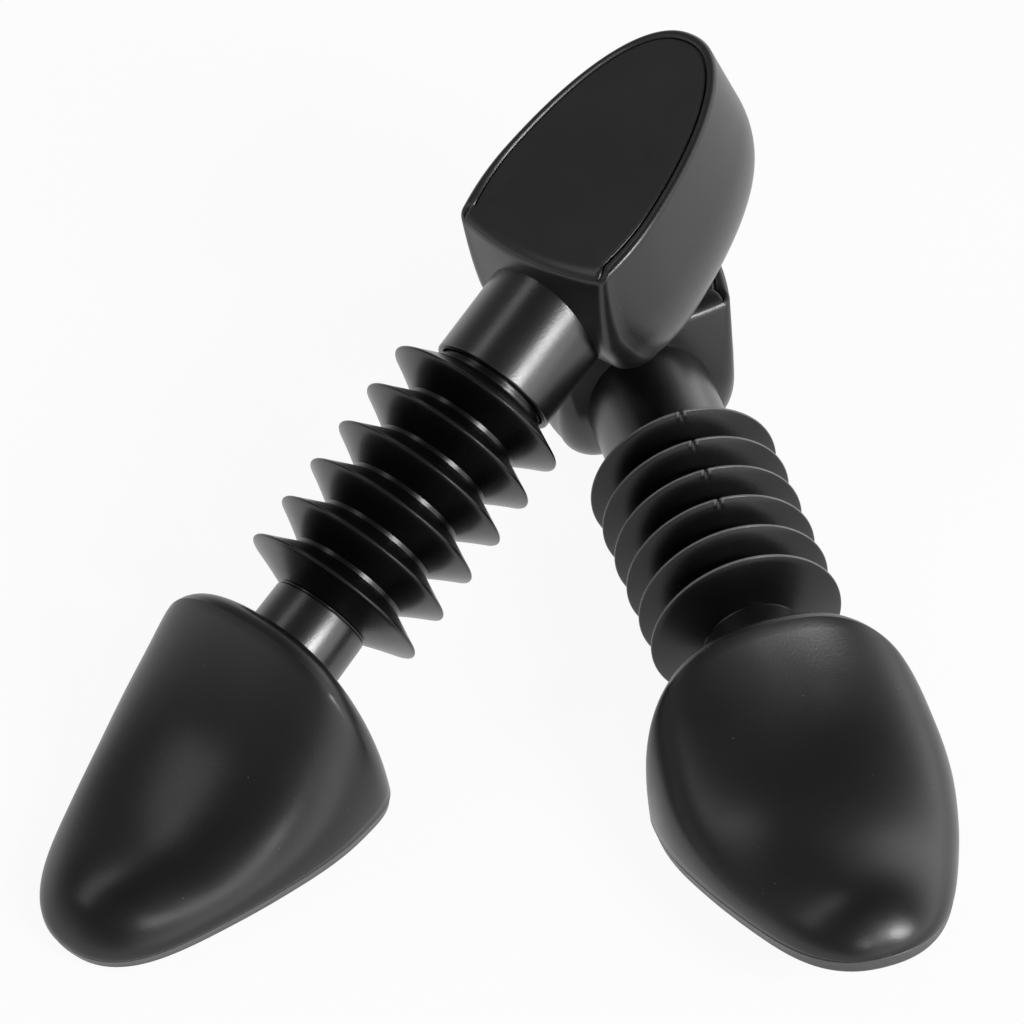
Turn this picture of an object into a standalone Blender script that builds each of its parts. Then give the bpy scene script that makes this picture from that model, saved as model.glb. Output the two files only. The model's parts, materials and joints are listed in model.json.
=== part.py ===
# A pair of shoe stretchers: toe form, bellows and heel block, the left one lying across the right one.
# Each stretcher has its own frame: +X along the bellows towards the heel, +Z up, origin where the
# bellows axis leaves the toe. Metres throughout; +Z is up in the world, which is the floor they lie on.
import math

import bmesh
import bpy
from mathutils import Matrix, Vector
from mathutils.bvhtree import BVHTree

# How the pair lies
RIGHT_YAW = math.radians(-12.2)
LEFT_YAW = math.radians(43.2)
LEFT_TOE_ROLL = math.radians(-2.5)
LEFT_HEEL_TURN = math.radians(-5.9)
RIGHT_PLACE_X = 0.0613
RIGHT_PLACE_Y = -0.0881
LEFT_PLACE_X = -0.0593
LEFT_PLACE_Y = -0.0730
PITCH_LOW = math.radians(2.0)
PITCH_HIGH = math.radians(40.0)
PITCH_STEPS = 16
REST_GAP = 0.0004
FIT_GAP = 0.0003

# Toe form: a hollow dome over a flat sole plate
TOE_LENGTH = 0.0893
TOE_HALF_WIDTH = 0.0380
TOE_HEIGHT = 0.0511
TOE_WALL = 0.0020
TOE_WIDEST_FROM_BACK = 0.0190
TOE_HIGHEST_FROM_BACK = 0.0094
TIP_WIDTH_SHARE = 0.71
TIP_ROUND_WIDTH_SHARE = 0.63
TIP_HEIGHT_SHARE = 0.21
TIP_ROUND_HEIGHT_SHARE = 0.34
WIDTH_GROWTH_POWER = 3.3
HEIGHT_GROWTH_POWER = 3.0
TIP_WIDTH_POWER = 2.25
TIP_HEIGHT_POWER = 2.2
BACK_WIDTH_POWER = 3.8
BACK_HEIGHT_POWER = 3.2
ARCH_POWER = 2.6
TOE_STATIONS_FRONT = 12
TOE_STATIONS_BACK = 7
ARCH_SEGMENTS = 18

# Sole plate
SOLE_THICKNESS = 0.0040
SOLE_EDGE_RADIUS = 0.0018
SOLE_EDGE_STEPS = 3
SOLE_RIB_HEIGHT = 0.0020
SOLE_RIB_CLEARANCE = 0.0011
SEAM_TRIM = 0.0001
SOLE_RIB_WALL = 0.0015

# Neck tube between toe and bellows
NECK_TILT = math.radians(15.2)
NECK_HEIGHT = 0.0282
NECK_SET_BACK = 0.0007
NECK_RADIUS = 0.0137
NECK_LENGTH = 0.0132
NECK_BORE_RADIUS = 0.0122
NECK_PLUG_LENGTH = 0.0120
SOCKET_WALL = 0.0018
SOCKET_LIP = 0.0018
SOCKET_REACH = 0.0200

# Bellows
FOLD_COUNT = 6
LEFT_FOLD_PITCH = 0.0123
RIGHT_FOLD_PITCH = 0.0109
RIM_RADIUS = 0.0255
VALLEY_RADIUS = 0.0163
BELLOWS_WALL = 0.0011
TOE_CONE_SHARE = 0.43
HEEL_CONE_SHARE = 0.37
RIM_LIP_SHARE = 0.07
VALLEY_NARROW_SHARE = 0.05
TOE_PLUG_LENGTH = 0.0090
FIRST_CONE_LENGTH = 0.0050
LAST_NECK_LENGTH = 0.0025
HEEL_PLUG_RADIUS = 0.0153
HEEL_PLUG_LENGTH = 0.0120

# Heel collar
COLLAR_RADIUS = 0.0173
COLLAR_LENGTH = 0.0222
COLLAR_EDGE = 0.0005
COLLAR_BORE_DEPTH = 0.0130
COLLAR_WALL = 0.0030
COLLAR_FLANGE = 0.0009
COLLAR_FLANGE_LENGTH = 0.0012
COLLAR_FLANGE_DEPTH = 0.0086

# Heel block: a hollow shell with a lid let into its top
HEEL_LENGTH = 0.0808
HEEL_HALF_WIDTH = 0.0285
HEEL_FRONT_HALF_WIDTH = 0.0223
HEEL_TOP_HALF_WIDTH = 0.0278
HEEL_TOP_FRONT_HALF_WIDTH = 0.0254
HEEL_FRONT_DRAW_SHARE = 0.30
HEEL_ABOVE_AXIS = 0.0233
HEEL_BELOW_AXIS = 0.0251
HEEL_WALL = 0.0022
HEEL_OUTLINE_POWER = 2.23
HEEL_ROUND_POWER = 2.19
HEEL_FRONT_BOW = 0.0032
HEEL_TOP_CORNER_RADIUS = 0.0026
HEEL_BOTTOM_CORNER_RADIUS = 0.0080
HEEL_TOP_EDGE_RADIUS = 0.0016
LEAST_CORNER_SHARE = 0.25
HEEL_FRONT_LEAN = 0.0052
HEEL_FRONT_LEAN_POWER = 1.5
HEEL_BOTTOM_INSET = 0.0115
HEEL_BOTTOM_POWER = 2.0
HEEL_RIM_WIDTH = 0.0028
HEEL_EDGE_STEPS = 3
HEEL_LEAN_STEPS = 4
HEEL_BOTTOM_STEPS = 5
HEEL_FRONT_STEPS = 3
HEEL_CORNER_STEPS = 4
HEEL_SIDE_STEPS = 13
LID_THICKNESS = 0.0018
LID_FRONT_MARGIN = 0.0008
LID_EDGE = 0.0004
LID_LEDGE = 0.0014
LID_LEDGE_DEPTH = 0.0014
LID_SKIRT_DEPTH = 0.0026
LID_SKIRT_WALL = 0.0012

TURN_STEPS = 32
CUT_OVERRUN = 0.0040
WELD_DISTANCE = 0.00001
LEAST_MITRE_SHARE = 0.5

HARD_BLACK = (0.012, 0.012, 0.013, 1.0)
SOFT_BLACK = (0.008, 0.008, 0.009, 1.0)


def clear_scene():
    for item in list(bpy.data.objects):
        bpy.data.objects.remove(item, do_unlink=True)


def make_collection(name):
    collection = bpy.data.collections.new(name)
    bpy.context.scene.collection.children.link(collection)
    return collection


def make_material(name, color, roughness):
    material = bpy.data.materials.new(name)
    material.use_nodes = True
    shader = material.node_tree.nodes["Principled BSDF"]
    shader.inputs["Base Color"].default_value = color
    shader.inputs["Roughness"].default_value = roughness
    shader.inputs["Metallic"].default_value = 0.0
    return material


def make_empty(name, parent, location, collection):
    empty = bpy.data.objects.new(name, None)
    empty.parent = parent
    empty.location = location
    collection.objects.link(empty)
    return empty


def make_object(name, mesh, collection, material=None):
    item = bpy.data.objects.new(name, mesh)
    collection.objects.link(item)
    if material is not None:
        mesh.materials.append(material)
    return item


def make_guide(name, mesh, collection):
    guide = make_object(name, mesh, collection)
    guide.hide_render = True
    guide.display_type = "WIRE"
    return guide


def smooth(mesh, angle=math.radians(35.0)):
    mesh.shade_smooth()
    mesh.set_sharp_from_angle(angle=angle)


def loft_mesh(name, loops, close_start, close_end):
    # Skins loops of equally many points, in order, and closes the first and last with a face.
    work = bmesh.new()
    rings = [[work.verts.new(point) for point in loop] for loop in loops]
    for low, high in zip(rings[:-1], rings[1:]):
        count = len(low)
        for index in range(count):
            after = (index + 1) % count
            work.faces.new((low[index], low[after], high[after], high[index]))
    if close_start:
        work.faces.new(list(reversed(rings[0])))
    if close_end:
        work.faces.new(rings[-1])
    bmesh.ops.recalc_face_normals(work, faces=work.faces)
    mesh = bpy.data.meshes.new(name)
    work.to_mesh(mesh)
    work.free()
    return mesh


def profile_mesh(name, profile):
    # A closed outline of (radius, height) points for a Screw about the object's Z axis.
    work = bmesh.new()
    points = [work.verts.new((radius, 0.0, height)) for radius, height in profile]
    for index, point in enumerate(points):
        work.edges.new((point, points[(index + 1) % len(points)]))
    mesh = bpy.data.meshes.new(name)
    work.to_mesh(mesh)
    work.free()
    return mesh


def turn_profile(item):
    screw = item.modifiers.new("Turn", "SCREW")
    screw.axis = "Z"
    screw.angle = math.tau
    screw.steps = TURN_STEPS
    screw.render_steps = TURN_STEPS
    screw.use_merge_vertices = True
    screw.merge_threshold = WELD_DISTANCE
    screw.use_smooth_shade = True
    # The profile's Z lies along the stretcher's X.
    item.rotation_euler = (0.0, math.pi / 2.0, 0.0)


def cylinder_mesh(name, radius, start, end):
    # A solid cylinder about X between two places on it.
    work = bmesh.new()
    bmesh.ops.create_cone(work, cap_ends=True, segments=TURN_STEPS, radius1=radius, radius2=radius,
                          depth=end - start)
    turn = Matrix.Rotation(math.pi / 2.0, 4, "Y")
    shift = Matrix.Translation(((start + end) / 2.0, 0.0, 0.0))
    bmesh.ops.transform(work, matrix=shift @ turn, verts=work.verts)
    mesh = bpy.data.meshes.new(name)
    work.to_mesh(mesh)
    work.free()
    return mesh


def cut(item, tool, operation):
    step = item.modifiers.new(tool.name, "BOOLEAN")
    step.operation = operation
    step.solver = "EXACT"
    step.object = tool


def rounded(share, reach_share, power):
    # Rises from 0 to 1 like the quarter of a rounded corner over the first part of the way.
    place = min(max(share / reach_share, 0.0), 1.0)
    return (1.0 - (1.0 - place) ** power) ** (1.0 / power)


def toe_half_width(x):
    widest = -TOE_WIDEST_FROM_BACK
    if x <= widest:
        share = (x + TOE_LENGTH) / (TOE_LENGTH + widest)
        growth = math.sin(max(share, 0.0) * math.pi / 2.0) ** WIDTH_GROWTH_POWER
        width_share = TIP_WIDTH_SHARE + (1.0 - TIP_WIDTH_SHARE) * growth
        return TOE_HALF_WIDTH * width_share * rounded(share, TIP_ROUND_WIDTH_SHARE, TIP_WIDTH_POWER)
    share = min((x - widest) / TOE_WIDEST_FROM_BACK, 1.0)
    return TOE_HALF_WIDTH * (1.0 - share ** BACK_WIDTH_POWER) ** (1.0 / BACK_WIDTH_POWER)


def toe_height(x):
    rise = TOE_HEIGHT - SOLE_THICKNESS
    highest = -TOE_HIGHEST_FROM_BACK
    if x <= highest:
        share = (x + TOE_LENGTH) / (TOE_LENGTH + highest)
        height_share = TIP_HEIGHT_SHARE + (1.0 - TIP_HEIGHT_SHARE) * max(share, 0.0) ** HEIGHT_GROWTH_POWER
        return rise * height_share * rounded(share, TIP_ROUND_HEIGHT_SHARE, TIP_HEIGHT_POWER)
    share = min((x - highest) / TOE_HIGHEST_FROM_BACK, 1.0)
    return rise * (1.0 - share ** BACK_HEIGHT_POWER) ** (1.0 / BACK_HEIGHT_POWER)


def toe_stations():
    # Places along the toe from tip to back, closer together towards both ends.
    front = TOE_LENGTH - TOE_WIDEST_FROM_BACK
    places = []
    for index in range(TOE_STATIONS_FRONT + 1):
        places.append(-TOE_LENGTH + front * (1.0 - math.cos(index / TOE_STATIONS_FRONT * math.pi / 2.0)))
    for index in range(1, TOE_STATIONS_BACK + 1):
        places.append(-TOE_WIDEST_FROM_BACK * (1.0 - math.sin(index / TOE_STATIONS_BACK * math.pi / 2.0)))
    return places


def toe_outline():
    # The toe's plan as a closed loop, tip first, along one side to the back and home by the other.
    places = toe_stations()
    near = [Vector((x, toe_half_width(x))) for x in places]
    far = [Vector((point.x, -point.y)) for point in reversed(near[1:-1])]
    return near + far


def inset_loop(loop, distance):
    # Moves a smooth closed outline inwards by a distance square to its edges.
    moved = []
    count = len(loop)
    for index, point in enumerate(loop):
        before = (point - loop[index - 1]).normalized()
        after = (loop[(index + 1) % count] - point).normalized()
        along = (before + after).normalized()
        inward = Vector((along.y, -along.x))
        moved.append(point + inward * distance / max(along.dot(before), LEAST_MITRE_SHARE))
    return moved


def at_height(loop, height):
    return [(point.x, point.y, height) for point in loop]


def toe_surface_mesh(name):
    # The dome's outer skin: arches across the toe, from the tip to the back, open at the sole.
    places = toe_stations()
    work = bmesh.new()
    tip = work.verts.new((places[0], 0.0, SOLE_THICKNESS))
    back = work.verts.new((places[-1], 0.0, SOLE_THICKNESS))
    arches = []
    for x in places[1:-1]:
        arch = []
        for index in range(ARCH_SEGMENTS + 1):
            angle = math.pi * index / ARCH_SEGMENTS
            across = math.copysign(abs(math.cos(angle)) ** (2.0 / ARCH_POWER), math.cos(angle))
            over = max(math.sin(angle), 0.0) ** (2.0 / ARCH_POWER)
            if index in (0, ARCH_SEGMENTS):
                over = 0.0
            height = SOLE_THICKNESS + toe_height(x) * over
            arch.append(work.verts.new((x, toe_half_width(x) * across, height)))
        arches.append(arch)
    for index in range(ARCH_SEGMENTS):
        work.faces.new((tip, arches[0][index + 1], arches[0][index]))
        work.faces.new((back, arches[-1][index], arches[-1][index + 1]))
        for low, high in zip(arches[:-1], arches[1:]):
            work.faces.new((low[index], low[index + 1], high[index + 1], high[index]))
    bmesh.ops.recalc_face_normals(work, faces=work.faces)
    mesh = bpy.data.meshes.new(name)
    work.to_mesh(mesh)
    work.free()
    return mesh


def seam_trim_mesh(name):
    # A slab under the dome that cuts its lower edge flat where it meets the sole.
    reach_x = TOE_LENGTH + CUT_OVERRUN
    reach_y = TOE_HALF_WIDTH + CUT_OVERRUN
    corners = [Vector((-reach_x, -reach_y)), Vector((CUT_OVERRUN, -reach_y)),
               Vector((CUT_OVERRUN, reach_y)), Vector((-reach_x, reach_y))]
    loops = [at_height(corners, -CUT_OVERRUN), at_height(corners, SOLE_THICKNESS + SEAM_TRIM)]
    return loft_mesh(name, loops, True, True)


def make_toe_shell(side, frame, parts, guides, material):
    shell = make_object(side + "_toe_shell", toe_surface_mesh("toe_shell"), parts, material)
    shell.parent = frame
    wall = shell.modifiers.new("Wall", "SOLIDIFY")
    wall.thickness = TOE_WALL
    wall.offset = -1.0
    wall.use_even_offset = True
    smooth(shell.data)

    # The neck's socket is a tube inside the toe, trimmed to the toe's own outline.
    solid = make_guide(side + "_toe_solid", toe_surface_mesh("toe_solid"), guides)
    close_bottom(solid.data)
    solid.parent = frame
    bore = NECK_RADIUS + FIT_GAP
    floor = -NECK_PLUG_LENGTH - FIT_GAP
    socket = make_guide(side + "_socket",
                        cylinder_mesh("socket", bore + SOCKET_WALL, floor - SOCKET_LIP, SOCKET_REACH), guides)
    place_on_neck_axis(socket, frame)
    cut(socket, solid, "INTERSECT")
    drill = make_guide(side + "_socket_bore",
                       cylinder_mesh("socket_bore", bore, floor, SOCKET_REACH + CUT_OVERRUN), guides)
    place_on_neck_axis(drill, frame)
    eye_start = floor - SOCKET_LIP - CUT_OVERRUN
    eye = make_guide(side + "_socket_eye", cylinder_mesh("socket_eye", bore - SOCKET_LIP, eye_start, 0.0), guides)
    place_on_neck_axis(eye, frame)
    trim = make_guide(side + "_seam_trim", seam_trim_mesh("seam_trim"), guides)
    trim.parent = frame
    cut(shell, trim, "DIFFERENCE")
    cut(shell, socket, "UNION")
    cut(shell, drill, "DIFFERENCE")
    cut(shell, eye, "DIFFERENCE")
    return shell


def close_bottom(mesh):
    work = bmesh.new()
    work.from_mesh(mesh)
    border = [edge for edge in work.edges if edge.is_boundary]
    bmesh.ops.edgeloop_fill(work, edges=border)
    bmesh.ops.recalc_face_normals(work, faces=work.faces)
    work.to_mesh(mesh)
    work.free()


def place_on_neck_axis(item, frame):
    # The neck axis in the toe's own frame: up off the sole and tilted up towards the heel.
    item.parent = frame
    item.location = (NECK_SET_BACK, 0.0, NECK_HEIGHT)
    item.rotation_euler = (0.0, -NECK_TILT, 0.0)


def make_toe_sole(side, frame, parts, material):
    # A plate with a rounded lower edge and a rib that locates it inside the dome.
    outline = toe_outline()
    loops = []
    for index in range(SOLE_EDGE_STEPS + 1):
        angle = index / SOLE_EDGE_STEPS * math.pi / 2.0
        inset = SOLE_EDGE_RADIUS * (1.0 - math.sin(angle))
        loops.append(at_height(inset_loop(outline, inset), SOLE_EDGE_RADIUS * (1.0 - math.cos(angle))))
    top = SOLE_THICKNESS - FIT_GAP
    rib_outside = TOE_WALL + SOLE_RIB_CLEARANCE
    rib_inside = rib_outside + SOLE_RIB_WALL
    loops.append(at_height(outline, top))
    loops.append(at_height(inset_loop(outline, rib_outside), top))
    loops.append(at_height(inset_loop(outline, rib_outside), top + SOLE_RIB_HEIGHT))
    loops.append(at_height(inset_loop(outline, rib_inside), top + SOLE_RIB_HEIGHT))
    loops.append(at_height(inset_loop(outline, rib_inside), top))
    sole = make_object(side + "_toe_sole", loft_mesh("toe_sole", loops, True, True), parts, material)
    sole.parent = frame
    smooth(sole.data)
    return sole


def make_toe_neck(side, carriage, parts, material):
    # A plain sleeve: its inner end sits in the toe's socket, its outer end takes the bellows' plug.
    profile = [
        (NECK_RADIUS, NECK_LENGTH),
        (NECK_RADIUS, -NECK_PLUG_LENGTH),
        (NECK_BORE_RADIUS, -NECK_PLUG_LENGTH),
        (NECK_BORE_RADIUS, NECK_LENGTH),
    ]
    neck = make_object(side + "_toe_neck", profile_mesh("toe_neck", profile), parts, material)
    turn_profile(neck)
    neck.parent = carriage
    return neck


def bellows_profile(pitch):
    # (radius, place) points down the outside from the heel end, then back up the inside.
    lip = RIM_LIP_SHARE * pitch
    toe_cone = TOE_CONE_SHARE * pitch
    heel_cone = HEEL_CONE_SHARE * pitch
    thin = VALLEY_NARROW_SHARE * pitch
    valley = pitch - lip - toe_cone - heel_cone
    first_rim = NECK_LENGTH + FIT_GAP + FIRST_CONE_LENGTH
    outer = [(NECK_BORE_RADIUS - FIT_GAP, NECK_LENGTH - TOE_PLUG_LENGTH),
             (NECK_BORE_RADIUS - FIT_GAP, NECK_LENGTH + FIT_GAP),
             (NECK_RADIUS, NECK_LENGTH + FIT_GAP)]
    inner = [(NECK_BORE_RADIUS - FIT_GAP - BELLOWS_WALL, NECK_LENGTH - TOE_PLUG_LENGTH),
             (NECK_BORE_RADIUS - FIT_GAP - BELLOWS_WALL, NECK_LENGTH + BELLOWS_WALL)]
    for fold in range(FOLD_COUNT):
        rim = first_rim + fold * pitch
        outer.append((RIM_RADIUS, rim))
        outer.append((RIM_RADIUS, rim + lip))
        inner.append((RIM_RADIUS - 2.0 * BELLOWS_WALL, rim + lip / 2.0))
        if fold < FOLD_COUNT - 1:
            low = rim + lip + heel_cone
            outer.append((VALLEY_RADIUS, low))
            outer.append((VALLEY_RADIUS, low + valley))
            inner.append((VALLEY_RADIUS - BELLOWS_WALL, low + valley / 2.0))
    last = first_rim + (FOLD_COUNT - 1) * pitch + lip + heel_cone
    end = collar_mouth(pitch) + HEEL_PLUG_LENGTH
    outer.append((HEEL_PLUG_RADIUS, last))
    outer.append((HEEL_PLUG_RADIUS, end))
    inner.append((HEEL_PLUG_RADIUS - BELLOWS_WALL, last - thin))
    inner.append((HEEL_PLUG_RADIUS - BELLOWS_WALL, end))
    return list(reversed(outer)) + inner


def collar_mouth(pitch):
    # Where the collar begins, just past the last fold's heel side.
    last_rim = NECK_LENGTH + FIT_GAP + FIRST_CONE_LENGTH + (FOLD_COUNT - 1) * pitch
    return last_rim + (RIM_LIP_SHARE + HEEL_CONE_SHARE) * LEFT_FOLD_PITCH + LAST_NECK_LENGTH - FIT_GAP


def heel_front(pitch):
    return collar_mouth(pitch) + COLLAR_LENGTH + FIT_GAP


def make_bellows(side, pivot, pitch, parts, material):
    bellows = make_object(side + "_bellows", profile_mesh("bellows", bellows_profile(pitch)), parts, material)
    turn_profile(bellows)
    bellows.parent = pivot
    bellows.location = (-collar_mouth(pitch), 0.0, 0.0)
    return bellows


def make_collar(side, unit, pitch, parts, material):
    # Passes through the heel's front wall to a flange behind it; its mouth takes the bellows' plug.
    flange = COLLAR_LENGTH + COLLAR_FLANGE_DEPTH
    tail = flange + COLLAR_FLANGE_LENGTH
    bore = HEEL_PLUG_RADIUS + FIT_GAP
    inside = COLLAR_RADIUS - COLLAR_WALL
    profile = [
        (inside, tail),
        (COLLAR_RADIUS + COLLAR_FLANGE, tail),
        (COLLAR_RADIUS + COLLAR_FLANGE, flange),
        (COLLAR_RADIUS, flange),
        (COLLAR_RADIUS, COLLAR_EDGE),
        (COLLAR_RADIUS - COLLAR_EDGE, 0.0),
        (bore, 0.0),
        (bore, COLLAR_BORE_DEPTH),
        (inside, COLLAR_BORE_DEPTH),
    ]
    collar = make_object(side + "_heel_collar", profile_mesh("heel_collar", profile), parts, material)
    turn_profile(collar)
    collar.parent = unit
    collar.location = (collar_mouth(pitch), 0.0, 0.0)
    return collar


def side_place(share, front_half, full_half):
    # The heel's half width: widening a little behind the front, then closing in a round back.
    draw = (full_half - front_half) * max(1.0 - share / HEEL_FRONT_DRAW_SHARE, 0.0) ** 2
    return full_half * (1.0 - share ** HEEL_OUTLINE_POWER) ** (1.0 / HEEL_ROUND_POWER) - draw


def heel_outline(front, back, front_half, full_half, corner, bow):
    # Half of the plan, from the middle of the bowed front round the corner to the back; then mirrored.
    shoulder = front + bow
    length = back - shoulder
    corner_half = side_place(corner / length, front_half, full_half)
    points = []
    for index in range(HEEL_FRONT_STEPS):
        across = index / HEEL_FRONT_STEPS
        points.append(Vector((front + bow * across ** 2, across * (corner_half - corner))))
    for index in range(HEEL_CORNER_STEPS + 1):
        angle = index / HEEL_CORNER_STEPS * math.pi / 2.0
        points.append(Vector((shoulder + corner * (1.0 - math.cos(angle)),
                              corner_half - corner + corner * math.sin(angle))))
    for index in range(1, HEEL_SIDE_STEPS + 1):
        x = corner + (length - corner) * math.sin(index / HEEL_SIDE_STEPS * math.pi / 2.0)
        points.append(Vector((shoulder + x, side_place(min(x / length, 1.0), front_half, full_half))))
    far = [Vector((point.x, -point.y)) for point in reversed(points[1:-1])]
    return points + far


def lie_angle(pitch):
    # How far the bellows axis drops towards the heel when toe edge and heel bottom are on the floor.
    toe_edge_depth = NECK_HEIGHT * math.cos(NECK_TILT) - NECK_SET_BACK * math.sin(NECK_TILT)
    toe_edge_place = -NECK_HEIGHT * math.sin(NECK_TILT) - NECK_SET_BACK * math.cos(NECK_TILT)
    return math.atan((toe_edge_depth - HEEL_BELOW_AXIS) / (heel_front(pitch) - toe_edge_place))


def rounding(radius, reach):
    # How far a rounded edge of this radius is drawn in where a level lies this far within its height.
    within = min(max(reach, 0.0), radius)
    return radius - math.sqrt(radius ** 2 - within ** 2)


def heel_level(height, inset=0.0, front_margin=0.0):
    # The heel's outline at a height over the bellows axis, drawn in by an inset at its sides and back
    # and by the inset and a margin at its front. The underside slopes so that it lies flat on a floor.
    down_share = (HEEL_ABOVE_AXIS - height) / (HEEL_ABOVE_AXIS + HEEL_BELOW_AXIS)
    up_share = max(height / HEEL_ABOVE_AXIS, 0.0)
    low_share = min(max(-height / HEEL_BELOW_AXIS, 0.0), 1.0)
    under = HEEL_BOTTOM_INSET * (1.0 - (1.0 - low_share ** HEEL_BOTTOM_POWER) ** (1.0 / HEEL_BOTTOM_POWER))
    drawn = under + rounding(HEEL_TOP_EDGE_RADIUS, height - HEEL_ABOVE_AXIS + HEEL_TOP_EDGE_RADIUS) + inset
    corner = HEEL_TOP_CORNER_RADIUS + (HEEL_BOTTOM_CORNER_RADIUS - HEEL_TOP_CORNER_RADIUS) * down_share
    corner = max(corner - inset, HEEL_TOP_CORNER_RADIUS * LEAST_CORNER_SHARE)
    half = HEEL_HALF_WIDTH + (HEEL_TOP_HALF_WIDTH - HEEL_HALF_WIDTH) * up_share
    front_half = HEEL_FRONT_HALF_WIDTH + (HEEL_TOP_FRONT_HALF_WIDTH - HEEL_FRONT_HALF_WIDTH) * up_share
    lean = HEEL_FRONT_LEAN * up_share ** HEEL_FRONT_LEAN_POWER
    loop = heel_outline(lean + drawn + front_margin, HEEL_LENGTH - drawn, front_half - drawn, half - drawn,
                        corner, HEEL_FRONT_BOW * up_share)
    slope = math.tan(lie_angle(RIGHT_FOLD_PITCH)) * low_share
    return [(point.x, point.y, height + slope * point.x) for point in loop]


def underside_heights(lift):
    # Levels from the underside up to the axis, closer together where the rounding is sharper.
    depth = HEEL_BELOW_AXIS - lift
    heights = []
    for index in range(HEEL_BOTTOM_STEPS + 1):
        angle = index / HEEL_BOTTOM_STEPS * math.pi / 2.0
        heights.append(-depth * math.cos(angle) ** (2.0 / HEEL_BOTTOM_POWER))
    return heights


def upper_heights():
    # Levels up the leaning front, then round the top edge.
    begin = HEEL_ABOVE_AXIS - HEEL_TOP_EDGE_RADIUS
    heights = [begin * index / HEEL_LEAN_STEPS for index in range(1, HEEL_LEAN_STEPS)]
    for index in range(HEEL_EDGE_STEPS + 1):
        heights.append(begin + HEEL_TOP_EDGE_RADIUS * math.sin(index / HEEL_EDGE_STEPS * math.pi / 2.0))
    return heights


def make_heel_shell(side, unit, pitch, parts, guides, material):
    top = HEEL_ABOVE_AXIS
    seat = top - LID_THICKNESS - FIT_GAP
    ledge_under = seat - LID_LEDGE_DEPTH
    loops = [heel_level(height) for height in underside_heights(0.0) + upper_heights()]
    loops += [
        heel_level(top, HEEL_RIM_WIDTH - HEEL_TOP_EDGE_RADIUS, LID_FRONT_MARGIN),
        lid_level(seat, 0.0),
        lid_level(seat, LID_LEDGE),
        lid_level(ledge_under, LID_LEDGE),
        heel_level(ledge_under - LID_LEDGE - LID_LEDGE, HEEL_WALL),
    ]
    loops += [heel_level(height, HEEL_WALL) for height in reversed(upper_heights()[:HEEL_LEAN_STEPS - 1])]
    loops += [heel_level(height, HEEL_WALL) for height in reversed(underside_heights(HEEL_WALL))]
    shell = make_object(side + "_heel_shell", loft_mesh("heel_shell", loops, True, True), parts, material)
    shell.parent = unit
    shell.location = (heel_front(pitch), 0.0, 0.0)
    smooth(shell.data)
    drill = make_guide(side + "_collar_hole",
                       cylinder_mesh("collar_hole", COLLAR_RADIUS + FIT_GAP, -CUT_OVERRUN, COLLAR_FLANGE_DEPTH),
                       guides)
    drill.parent = unit
    drill.location = (heel_front(pitch), 0.0, 0.0)
    cut(shell, drill, "DIFFERENCE")
    return shell


def lid_level(height, inset):
    # The lid recess's outline, drawn in by an inset, carried straight down from the top.
    rim = heel_level(HEEL_ABOVE_AXIS, HEEL_RIM_WIDTH - HEEL_TOP_EDGE_RADIUS + inset, LID_FRONT_MARGIN)
    return [(x, y, height) for x, y, _ in rim]


def make_heel_lid(side, unit, pitch, parts, material):
    # A flat panel with a softened edge, on the shell's ledge, with a skirt inside the ledge.
    top = HEEL_ABOVE_AXIS
    under = top - LID_THICKNESS
    skirt = LID_LEDGE + FIT_GAP
    loops = [
        lid_level(under, skirt + LID_SKIRT_WALL),
        lid_level(under - LID_SKIRT_DEPTH, skirt + LID_SKIRT_WALL),
        lid_level(under - LID_SKIRT_DEPTH, skirt),
        lid_level(under, skirt),
        lid_level(under, FIT_GAP),
        lid_level(top - LID_EDGE, FIT_GAP),
        lid_level(top, FIT_GAP + LID_EDGE),
    ]
    lid = make_object(side + "_heel_lid", loft_mesh("heel_lid", loops, True, True), parts, material)
    lid.parent = unit
    lid.location = (heel_front(pitch), 0.0, 0.0)
    smooth(lid.data)
    return lid


def build_stretcher(side, pitch, turn, parts, guides, hard, soft):
    unit = make_empty(side + "_unit", None, (0.0, 0.0, 0.0), parts)
    pivot = make_empty(side + "_bend_pivot", unit, (collar_mouth(pitch), 0.0, 0.0), parts)
    carriage = make_empty(side + "_toe_carriage", pivot, (-collar_mouth(pitch), 0.0, 0.0), parts)
    swivel = make_empty(side + "_toe_turn", carriage, (0.0, 0.0, 0.0), parts)
    swivel.rotation_euler = (-turn, 0.0, 0.0)
    frame = make_empty(side + "_toe_frame", swivel, (0.0, 0.0, 0.0), parts)
    frame.rotation_euler = (0.0, NECK_TILT, 0.0)
    down = Matrix.Rotation(NECK_TILT, 3, "Y") @ Vector((NECK_SET_BACK, 0.0, NECK_HEIGHT))
    frame.location = -down
    pieces = [
        make_toe_shell(side, frame, parts, guides, hard),
        make_toe_sole(side, frame, parts, hard),
        make_toe_neck(side, carriage, parts, hard),
        make_bellows(side, pivot, pitch, parts, soft),
        make_collar(side, unit, pitch, parts, hard),
        make_heel_shell(side, unit, pitch, parts, guides, hard),
        make_heel_lid(side, unit, pitch, parts, hard),
    ]
    return unit, pieces


def world_points(item):
    bpy.context.view_layer.update()
    seen = item.evaluated_get(bpy.context.evaluated_depsgraph_get())
    mesh = seen.to_mesh()
    points = [seen.matrix_world @ vertex.co for vertex in mesh.vertices]
    faces = [tuple(face.vertices) for face in mesh.polygons]
    seen.to_mesh_clear()
    return points, faces


def lie_on_floor(unit, pieces, yaw, pitch_angle, roll, place):
    # Turns a stretcher to its heading, tilt and roll, then sets its lowest point on the floor.
    unit.rotation_euler = (roll, -pitch_angle, math.pi / 2.0 - yaw)
    unit.location = (place[0], place[1], 0.0)
    lowest = min(point.z for piece in pieces for point in world_points(piece)[0])
    unit.location = (place[0], place[1], -lowest)


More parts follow.
